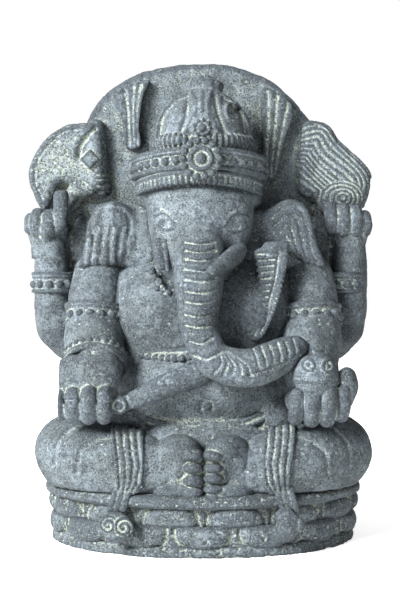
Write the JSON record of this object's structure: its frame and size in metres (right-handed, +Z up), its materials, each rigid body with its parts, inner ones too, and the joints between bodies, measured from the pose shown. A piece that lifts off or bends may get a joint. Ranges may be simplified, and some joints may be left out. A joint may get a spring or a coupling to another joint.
{
  "type": "ganesha idol",
  "caption": "Seated elephant-headed figure on a lotus base with an arched back slab, carved in dark stone, for a shelf, altar or garden.",
  "frame": {"origin": "centre of the plinth's underside", "axes": "+Z up, the statue faces -Y, and +X is the viewer's right"},
  "size_m": [0.293, 0.207, 0.4],
  "materials": {
    "stone_base": "carved volcanic stone, rough, dusty in the hollows",
    "stone_slab": "carved volcanic stone, coarse and pitted",
    "stone_body": "carved volcanic stone, rubbed smoother on the rounded parts",
    "stone_ornament": "finely cut volcanic stone with pale dust in the cuts"
  },
  "bodies": {
    "root": {"plinth": "stone_base", "lower_lotus": "stone_base", "upper_lotus": "stone_base", "lotus_seat": "stone_base", "back_slab": "stone_slab", "halo_ribbon_left": "stone_slab", "halo_ribbon_right": "stone_slab", "belly": "stone_body", "chest": "stone_body", "belly_belt": "stone_ornament", "chest_band": "stone_ornament", "sacred_thread": "stone_ornament", "bead_string": "stone_ornament", "leg_left": "stone_body", "leg_right": "stone_body", "foot_left": "stone_body", "foot_right": "stone_body", "sash_left": "stone_ornament", "sash_right": "stone_ornament", "sash_tassel_left": "stone_ornament", "sash_tassel_right": "stone_ornament", "front_arm_left": "stone_body", "front_arm_right": "stone_body", "front_armlet_left": "stone_ornament", "front_armlet_right": "stone_ornament", "bracelet_left": "stone_ornament", "front_hand_left": "stone_body", "front_hand_right": "stone_body", "back_arm_left": "stone_body", "back_arm_right": "stone_body", "back_armlet_left": "stone_ornament", "back_armlet_right": "stone_ornament", "back_hand_left": "stone_body", "back_hand_right": "stone_body", "axe": "stone_slab", "fly_whisk": "stone_slab", "held_tusk": "stone_body", "sweet_bowl": "stone_ornament", "head": "stone_body", "trunk": "stone_body", "ear_left": "stone_body", "ear_right": "stone_body", "tusk_right": "stone_body", "tusk_stub_left": "stone_body", "crown_band": "stone_ornament", "crown_medallion": "stone_ornament", "crown_fringe": "stone_ornament", "crown_dome": "stone_body", "crown_finial": "stone_ornament"}
  },
  "joints": []
}
